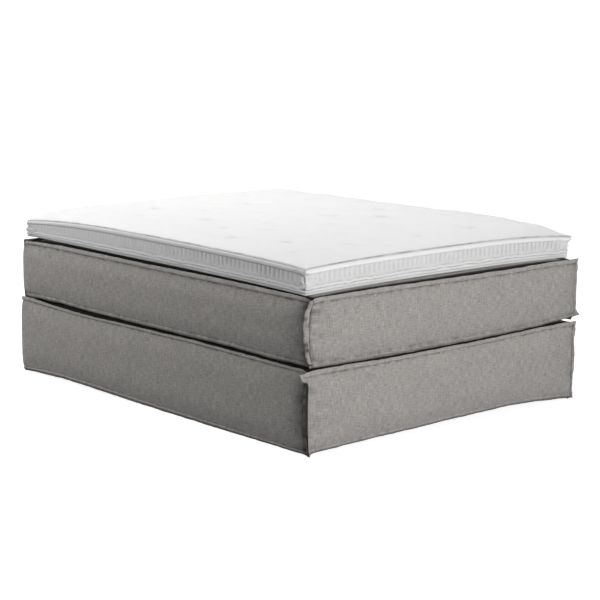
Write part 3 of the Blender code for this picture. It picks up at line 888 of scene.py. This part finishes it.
# Flat linen panels: the tops of the base and the mattress, and the mattress's underside
flatValues = {
    "edge": 0.003,
    "run": 0.060,
    "crevice": 0.007,
    "step": 0.040,
    "rim": (0.038, 0.045, 0.053, 0.064),  # further mesh lines beside the edge
    # painted shade: "dark" is how far in from the edge the groove beside the flange is painted dark, full
    # and then fading; "shade" is how dark
    "dark": (0.034, 0.046),  # how far in the groove beside the flange stays dark
    "cornerRun": 0.140,
    "cornerDrop": 0.50,  # share of its crown that the panel loses at a corner
    "shade": 0.95,
    "roundness": 0.62,  # of the swell beside the edge; less is fuller
    "waves": {"dents": (0.0012, (5, 5), 0), "wrinkles": (0.0008, (24, 24), 3)},
}


def flatPanel(node, layer, values, underside=False):
    low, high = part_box(node)
    seed = sum(map(ord, node)) % 40
    halfX, halfY, thick = high[0], high[1], high[2] - low[2]
    name = "linen_" + node.replace("_cover", "")
    sheet, x, y, inset = layerSheet(name, halfX, halfY, values["step"], values["rim"])
    start, end = values["dark"]
    # Painted shade: a dark band all round the edge, where the groove beside the flange lies in shadow
    writeMap(sheet, "shade", values["shade"] * (1 - ease((inset - start) / (end - start))), inset)
    swell = np.sin(math.pi / 2 * unit((inset - values["crevice"]) / values["run"]))
    swell = swell ** values["roundness"]
    away = np.hypot(halfX - np.abs(x), halfY - np.abs(y))
    swell = swell * (1 - fading(away, values["cornerDrop"], values["cornerRun"]))
    rise = values["edge"] + (thick - values["edge"]) * swell
    dents, wrinkles = (np.abs(wave(values["waves"], name, x, y, seed)) for name in ("dents", "wrinkles"))
    rise = rise - dents * swell - wrinkles * swell * (1 - swell) * 4
    side = -1 if underside else 1
    level = high[2] if underside else low[2]
    front = np.stack([x, y * side, level + rise * side], axis=1)
    back = np.stack([x, y * side, np.full_like(x, level)], axis=1)
    backed(sheet, front, back)
    wear(sheet, "grey_linen")
    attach(sheet, layer)
    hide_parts(node)


# Topper: tufted white top, border bands with tape and ribs, rolled bottom cover
topperValues = {
    "corner": 0.023,
    "seam": 0.0985,  # height of the top seam over the bottom seam, away from the corners
    "topDrops": {(-1, -1): 0.015, (1, -1): 0.027, (-1, 1): 0.036, (1, 1): 0.034},  # by corner, x and y
    "lowDrops": {(-1, -1): 0.010, (1, -1): 0.012, (-1, 1): -0.002, (1, 1): 0.008},
    "topEars": {(-1, -1): 0.011, (1, -1): 0.023, (-1, 1): 0.016, (1, 1): 0.011},  # outwards
    "lowEars": {(-1, -1): 0.002, (1, -1): 0.010, (-1, 1): 0.017, (1, 1): 0.002},
    "earRun": 0.022,
    "swell": ((0.60, -0.55), 0.42, 0.018),  # middle, radius and height of the fullest part
    "topEdge": 0.003,
    "crown": 0.022,
    "crownRun": 0.100,
    "fullness": 0.6,  # share of a corner's drop that the crown makes up
    "valley": 0.0024,  # between the top seam and the crown
    "valleyAt": (0.0025, 0.0017),  # how far in from the edge it lies, and its width
    "waves": {
        "seam": (0.0012, (4, 4), 21),
        "broad": (0.0024, (8, 8), 5, 3),
        "gathers": (0.0022, (38, 16), 8),
        "unevenValley": (0.7, (18, 18), 9),
    },
    "gatherRun": (0.028, 0.006),  # how far they reach in, and how soon they start
    "tuftX": 0.165,
    "tuftY": 0.230,
    "tuftShift": -0.040,
    "tuftStray": 0.09,
    "tuftSeed": 1796075819,  # of the way each tuft strays from its row
    "tuftDepth": 0.012,
    "tuftRings": ((0.40, 0.052), (0.60, 0.019)),  # share of the depth, and radius
    # painted shade in the valley beside the top seam and in the tufts' dimples
    "shades": {"valley": 0.72, "tuft": 0.24},
    "step": 0.017,
    "wall": 0.0115,
    "bottomStep": 0.06,
    "bottomEdge": 0.002,
    "bottomRoll": 0.024,
}


def topperPlaces():
    low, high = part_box("topper_cover_bottom")
    middle = ((low[0] + high[0]) / 2, (low[1] + high[1]) / 2)
    return middle, (high[0] - low[0]) / 2, (high[1] - low[1]) / 2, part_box("topper_core")[0][2]


def dropAt(drops, x, y, halfX, halfY):
    near = (unit(np.abs(x) / halfX) * unit(np.abs(y) / halfY)) ** 3
    total = np.zeros_like(near)
    for (sideX, sideY), drop in drops.items():
        total = np.where((x * sideX > 0) & (y * sideY > 0), drop * near, total)
    return total


def seamHeights(x, y, halfX, halfY, values):
    low = -dropAt(values["lowDrops"], x, y, halfX, halfY)
    low = low + wave(values["waves"], "seam", x, y) * ease(1 + low / 0.004)
    return low, values["seam"] - dropAt(values["topDrops"], x, y, halfX, halfY)


def roundCorner(x, y, halfX, halfY, radius):
    straightX, straightY = halfX - radius, halfY - radius
    a = positive((np.abs(x) - straightX) / radius)
    b = positive((np.abs(y) - straightY) / radius)
    both = (a > 0) & (b > 0)
    roundX = np.sign(x) * (straightX + radius * a * np.sqrt(unit(1 - b * b / 2)))
    roundY = np.sign(y) * (straightY + radius * b * np.sqrt(unit(1 - a * a / 2)))
    return np.where(both, roundX, x), np.where(both, roundY, y)


def earPull(x, y, halfX, halfY, run, ears):
    pull = np.zeros_like(x)
    for (sideX, sideY), ear in ears.items():
        away = np.hypot(halfX - sideX * x, halfY - sideY * y)
        pull = pull + fading(away, ear, run)
    return np.sign(x) * pull, np.sign(y) * pull


def tufts(x, y, halfX, halfY, values):
    noise.seed_set(values["tuftSeed"])
    dip = np.zeros_like(x)
    columns = int((halfX - values["crownRun"]) / values["tuftX"])
    rows = int((halfY - values["crownRun"]) / values["tuftY"])
    for row in range(-rows, rows + 1):
        for column in range(-columns, columns + 1):
            placeY = row * values["tuftY"] + values["tuftShift"]
            if (row + column) % 2 and placeY < halfY - values["crownRun"]:
                stray = noise.noise_vector(Vector((column * 3.3, row * 5.1, 60.25))) * values["tuftStray"]
                away = np.hypot(x - column * values["tuftX"] - stray.x, y - placeY - stray.y)
                weight = 0.75 + 0.9 * noise.noise(Vector((column * 2.7, row * 4.3, 26.75)))
                for share, radius in values["tuftRings"]:
                    dip += weight * fading(away, share, radius)
    return dip


def topperTop(values):
    middle, halfX, halfY, floorZ = topperPlaces()
    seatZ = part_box("topper_core")[1][2] + gap
    sheet, x, y, inset = layerSheet("topper_top", halfX, halfY, values["step"])
    px, py = roundCorner(x, y, halfX, halfY, values["corner"])
    seam = floorZ + seamHeights(px, py, halfX, halfY, values)[1] + gap
    rise = values["crown"] * np.sin(math.pi / 2 * unit(inset / values["crownRun"])) ** 0.72
    (fullX, fullY), run, full = values["swell"]
    rise = rise + fading(np.hypot(x - fullX, y - fullY), full, run) * ease(inset / 0.12)
    rise = rise + values["fullness"] * dropAt(values["topDrops"], px, py, halfX, halfY) * ease(inset / 0.09)
    broad = wave(values["waves"], "broad", x, y) * ease(inset / 0.05)
    reach, begin = values["gatherRun"]
    gathers = wave(values["waves"], "gathers", x + y, x - y) * np.exp(-inset / reach) * ease(inset / begin)
    middleAt, width = values["valleyAt"]
    unevenValley = np.clip(0.95 + wave(values["waves"], "unevenValley", x, y), 0, 1.3)
    valley = fading(inset - middleAt, unevenValley, width)
    tuft = tufts(x, y, halfX, halfY, values)
    # Painted shade: the seam's valley and the tufts' dimples are painted darker
    shade = values["shades"]["valley"] * valley + values["shades"]["tuft"] * tuft ** 2
    writeMap(sheet, "shade", unit(shade), inset)
    height = seam + values["topEdge"] + rise - tuft * values["tuftDepth"] + broad + gathers
    height = height - values["valley"] * valley
    writePoints(sheet, np.stack([px, py, height], axis=1))
    height = settle(sheet, (inset < 0.012) | (tuft > 0.75), topperCloth)[:, 2]
    earX, earY = earPull(x, y, halfX, halfY, values["earRun"], values["topEars"])
    front = np.stack([px + earX + middle[0], py + earY + middle[1], height], axis=1)
    seat = np.where(inset < values["wall"] + 0.004, seam, seatZ)
    back = np.stack([px + (earX + middle[0]) - 0.0005 * np.sign(px), py + (earY + middle[1]), seat], axis=1)
    backed(sheet, front, back)
    wear(sheet, "white_knit")
    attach(sheet, "topper")
    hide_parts("topper_cover_top")


def rimAt(travel, side, halfX, halfY, radius):
    right, outward = sides[side]
    half, distance = (halfX, halfY) if side in ("foot", "head") else (halfY, halfX)
    flat = np.clip(travel, -(half - radius), half - radius)
    angle = (travel - flat) / radius
    along = flat + radius * np.sin(angle)
    out = distance - radius + radius * np.cos(angle)
    x = along * right[0] + out * outward[0]
    y = along * right[1] + out * outward[1]
    faceX = np.sin(angle) * right[0] + np.cos(angle) * outward[0]
    faceY = np.sin(angle) * right[1] + np.cos(angle) * outward[1]
    return x, y, faceX, faceY


# Border bands: ribbed mesh between the tapes of the two seams. Places up a band are shares of its height.
bandValues = {
    "rises": (  # mesh lines
        0, 0.02, 0.05, 0.09, 0.12, 0.135, 0.15, 0.165, 0.19, 0.225, 0.24, 0.255, 0.29, 0.36, 0.41,
        0.46, 0.54, 0.62, 0.70, 0.76, 0.80, 0.825, 0.84, 0.855, 0.88, 0.92, 0.96, 0.985, 1.0,
    ),
    "ribPitch": 0.027,
    "ribDepth": 0.0030,
    "ribs": {  # how strong the ribs are, from a side's left end to its right end
        "foot": (0.75, 0.70, 0.60, 0.80, 1.20, 1.40),
        "left": (0.30, 0.25, 0.30, 0.45, 0.75, 0.90),
        "head": (0.60, 0.50, 0.50, 0.60),
        "right": (0.80, 0.60, 0.50, 0.60),
    },
    "ribColumns": {"foot": 6, "left": 6, "head": 4, "right": 4},  # mesh columns for each rib
    "ribbed": (0.36, 0.82),  # the ribs' lower and upper end
    "mesh": (0.28, 0.80),  # the mesh's lower and upper end, with tape beyond them
    "lines": (0.15, 0.275, 0.80),  # the lower tape's two creases, and the stitches of the upper one
    "lineWidths": (0.020, 0.012),
    "lineDepth": 0.0014,
    # painted shade: in the lower tape's creases, along the stitches, in wrinkles and rib grooves and on the
    # lower tape; tapeShade paints shade on the upper tape, most on the left side
    "shades": {"lower": 0.50, "higher": 0.42, "stitches": 0.12, "wrinkle": 0.35, "low": 0.12, "rib": 0.26},
    "tapeShade": {"foot": 0.0, "left": 0.30, "head": 0.15, "right": 0.15},
    "belly": 0.0020,
    "upperRoll": 0.0050,
    "lowerRoll": 0.0046,
    "wrinkle": 0.0140,  # depth of the crumpled cloth at a corner, and how far it reaches
    "wrinkleRun": 0.038,
    "waves": {
        "wrinkle": (1, (60, 7), 12),
        "ribs": (0.6, (9, 4), 0),
        "shift": (0.035, (11, 0), 9, 3),
        "torn": (0.5, (40, 0), 3),
        "uneven": (0.0014, (14, 3), 5),
    },
    "lip": 0.0005,
    "earRun": 0.20,  # how far down the upper corner's pull reaches
}


def borderBand(side, values, band):
    middle, halfX, halfY, floorZ = topperPlaces()
    radius = values["corner"]
    half = halfX if side in ("foot", "head") else halfY
    length = 2 * (half - radius) + 2 * radius * math.pi / 4
    ribs = round(length / band["ribPitch"])
    end = length / 2 - gap / 2
    travels = np.linspace(-end, end, ribs * band["ribColumns"][side] + 1)
    lip = end - band["lip"]
    travels = np.concatenate([travels[:1], [-lip], travels[1:-1], [lip], travels[-1:]])
    sheet, travel, share = gridSheet(f"topper_band_{side}", travels, band["rises"])
    x, y, faceX, faceY = rimAt(travel, side, halfX, halfY, radius)
    low, top = seamHeights(x, y, halfX, halfY, values)
    writeMap(sheet, "cloth", travel, share * 0.1)
    seed = 30 + list(sides).index(side)

    crumple = np.exp(-(length / 2 - np.abs(travel)) / band["wrinkleRun"])
    waves = {name: wave(band["waves"], name, travel, share, seed) for name in band["waves"]}
    wrinkle = crumple * waves["wrinkle"]
    ribStart, ribEnd = band["ribbed"]
    ribZone = ease((share - ribStart) / 0.07) * ease((ribEnd - share) / 0.04) * (1 - crumple)
    strength = smoothLine(band["ribs"][side], travel / end) * 1000
    rib = np.cos(2 * math.pi * (travel / length + 0.5) * ribs)
    rib = np.abs(rib) ** 0.7 * np.sign(rib) * strength * ribZone
    rib = rib * (0.8 + waves["ribs"])
    torn = 0.78 + waves["torn"]
    lowerAt, higherAt, stitchesAt = band["lines"]
    lineWidth, stitchWidth = band["lineWidths"]
    lower = fading(share - lowerAt - waves["shift"], unit(torn), lineWidth)
    higher = fading(share - higherAt - waves["shift"], unit(1.5 - torn), lineWidth)

    meshStart, meshEnd = band["mesh"]
    shades = band["shades"]
    # Painted shade for the band's shade map
    shade = shades["lower"] * lower + shades["higher"] * higher
    shade = shade + fading(share - stitchesAt, shades["stitches"], stitchWidth)
    shade = shade + shades["wrinkle"] * unit(-wrinkle)
    shade = shade + shades["low"] * ease((meshStart + 0.01 - share) / 0.02)
    tape = ease((share - meshEnd + 0.01) / 0.02) * ease((0.975 - share) / 0.02)
    shade = shade + band["tapeShade"][side] * tape + shades["rib"] * ribZone * unit(-rib)
    writeMap(sheet, "shade", unit(shade), share)

    out = band["belly"] * (1 - (2 * share - 1) ** 2) + band["ribDepth"] * rib
    roll = ease((share - meshEnd + 0.01) / 0.05) * np.cos(math.pi / 2 * unit((share - 0.86) / 0.14))
    out = out + band["upperRoll"] * roll
    roll = ease(share / 0.05) * np.cos(math.pi / 2 * unit((share - 0.05) / 0.26))
    out = out + band["lowerRoll"] * roll - band["lineDepth"] * (lower + higher)
    out = out + (band["wrinkle"] * wrinkle + waves["uneven"]) * np.sin(math.pi * share)
    atTop = fading(1 - share, 1, band["earRun"])
    topX, topY = earPull(x, y, halfX, halfY, values["earRun"], values["topEars"])
    lowX, lowY = earPull(x, y, halfX, halfY, values["earRun"], values["lowEars"])
    z = floorZ + low + share * (top - low)
    x, y = middle[0] + x, middle[1] + y
    frontX = x + faceX * out + topX * atTop + lowX * (1 - atTop)
    frontY = y + faceY * out + topY * atTop + lowY * (1 - atTop)
    front = np.stack([frontX, frontY, z], axis=1)
    back = np.stack([x - faceX * values["wall"], y - faceY * values["wall"], z], axis=1)
    backed(sheet, front, back)
    wear(sheet, "ribbed_mesh", "white_tape")
    paintBand(sheet, band)
    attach(sheet, "topper")
    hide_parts(f"topper_border_{side}")


def paintBand(sheet, band):
    layer = sheet.data.uv_layers["shade"].data
    low, high = band["mesh"]
    for face in sheet.data.polygons:
        share = sum(layer[i].uv.y for i in face.loop_indices) / len(face.loop_indices)
        face.material_index = 0 if low < share < high else 1


def topperBottom(values):
    middle, halfX, halfY = topperPlaces()[:3]
    low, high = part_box("topper_cover_bottom")
    sheet, x, y, inset = layerSheet("topper_bottom", halfX, halfY, values["bottomStep"])
    px, py = roundCorner(x, y, halfX, halfY, values["corner"])
    drop = seamHeights(px, -py, halfX, halfY, values)[0]
    earX, earY = earPull(x, -y, halfX, halfY, values["earRun"], values["lowEars"])
    thick = high[2] - low[2]
    roll = np.sqrt(unit(1 - (1 - unit(inset / values["bottomRoll"])) ** 2))
    z = low[2] + (thick - values["bottomEdge"]) * (1 - roll) + drop
    placeX, placeY = px + earX + middle[0], earY - py + middle[1]
    front = np.stack([placeX, placeY, z], axis=1)
    back = np.stack([placeX, placeY, high[2] + drop], axis=1)
    backed(sheet, front, back)
    wear(sheet, "white_knit")
    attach(sheet, "topper")
    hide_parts("topper_cover_bottom")


# Studio: white floor and backdrop, soft lamps
studioValues = {
    "sky": 0.05,
    "floorTone": 0.12,  # as the bed is lit by it, and as the camera sees it in shadow
    "shadowTone": 0.5,
    "floorSize": 240,
    "floorTop": -0.0005,
    "glow": 0.86,  # of the floor near the bed, where the shadow shows
    "glowRun": (2.2, 4.2),  # between these distances it turns plain white
    "aim": (0, 0, 0.4),
    "white": (1, 1, 1, 1),
    "lamps": {  # place, size, power
        "front": ((-1.0, -7.0, 1.8), 3.0, 337.0),
        "leftBack": ((-5.0, 5.0, 4.0), 3.5, 205.0),
        "leftLow": ((-5.5, 4.5, 1.8), 2.5, 92.0),
        "topBack": ((0.4, 1.6, 5.0), 3.5, 200.0),
    },
}


def paper(tree, lit, shown):
    rays = tree.nodes.new("ShaderNodeLightPath")
    seen = calc(tree, "MAXIMUM", rays.outputs["Is Camera Ray"], rays.outputs["Is Glossy Ray"])
    seen = calc(tree, "MAXIMUM", seen, rays.outputs["Is Transmission Ray"])
    return add(tree, "MixShader", i0=seen, i1=lit, i2=shown)


def makeBackdrop(values):
    world = bpy.data.worlds.new("studio")
    scene.world = world
    world.use_nodes = True
    tree = world.node_tree
    tree.nodes.clear()
    sky = add(tree, "Background", Color=values["white"], Strength=values["sky"])
    plain = add(tree, "Background", Color=values["white"], Strength=1.0)
    output = tree.nodes.new("ShaderNodeOutputWorld")
    tree.links.new(paper(tree, sky, plain), output.inputs["Surface"])


def makeFloor(values):
    bpy.ops.object.select_all(action="DESELECT")
    bpy.ops.mesh.primitive_plane_add(size=values["floorSize"], location=(0, 0, values["floorTop"]))
    floor = bpy.context.object
    floor.name = "floor"
    look = bpy.data.materials.new("floor")
    look.use_nodes = True
    tree = look.node_tree
    tree.nodes.clear()
    bounce = add(tree, "BsdfDiffuse", Color=(values["floorTone"],) * 3 + (1,))
    shade = add(tree, "BsdfDiffuse", Color=(values["shadowTone"],) * 3 + (1,))
    away = add(tree, "VectorMath", {"operation": "LENGTH"}, i0=inObject(tree)).node.outputs["Value"]
    near, far = values["glowRun"]
    strength = add(tree, "MapRange", Value=away, i1=near, i2=far, i3=values["glow"], i4=1.0)
    glow = add(tree, "Emission", Color=values["white"], Strength=strength)
    both = add(tree, "AddShader", i0=shade, i1=glow)
    output = tree.nodes.new("ShaderNodeOutputMaterial")
    tree.links.new(paper(tree, bounce, both), output.inputs["Surface"])
    floor.data.materials.append(look)


def makeLamps(values):
    for name, (place, size, power) in values["lamps"].items():
        data = bpy.data.lights.new(name, "AREA")
        data.shape = "DISK"
        data.size = size
        data.energy = power
        lamp = bpy.data.objects.new(name, data)
        lamp.location = place
        lamp.rotation_euler = (Vector(values["aim"]) - Vector(place)).to_track_quat("-Z", "Y").to_euler()
        scene.collection.objects.link(lamp)


def dressNodes():
    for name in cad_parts:
        piece = bpy.data.objects[name]
        for look, values in innerValues.items():
            if any(word in name for word in values["words"]):
                for place in piece.material_slots:
                    place.material = looks[look]


looks = {
    "grey_linen": makeMaterial("grey_linen", linen, linenValues, cover=True),
    "white_knit": makeMaterial("white_knit", knit, knitValues, cover=True),
    "ribbed_mesh": makeMaterial("ribbed_mesh", spacerMesh, meshValues, cover=True),
    "white_tape": makeMaterial("white_tape", twillTape, tapeValues, cover=True),
}
inner = {"spruce": spruce, "hardboard": hardboard, "foam": speckled, "needle_felt": needleFelt,
         "spring_pockets": springPockets, "dust_lining": speckled, "black_plastic": blackPlastic}
for name, pattern in inner.items():
    looks[name] = makeMaterial(name, pattern, innerValues[name])
print("looks made")
makeCamera(cameraValues)
dressNodes()
for layer in lines:
    for side in sides:
        linenPanel(layer, side, panelValues)
    print("panels of the", layer, "made")
flatPanel("base_cover_top", "base", flatValues)
flatPanel("mattress_cover_top", "mattress", flatValues)
flatPanel("mattress_cover_bottom", "mattress", flatValues, underside=True)
print("flat panels made")
topperTop(topperValues)
for side in sides:
    borderBand(side, topperValues, bandValues)
topperBottom(topperValues)
print("topper made")
makeBackdrop(studioValues)
makeFloor(studioValues)
makeLamps(studioValues)
print("studio made")
scene.view_settings.view_transform = "Standard"
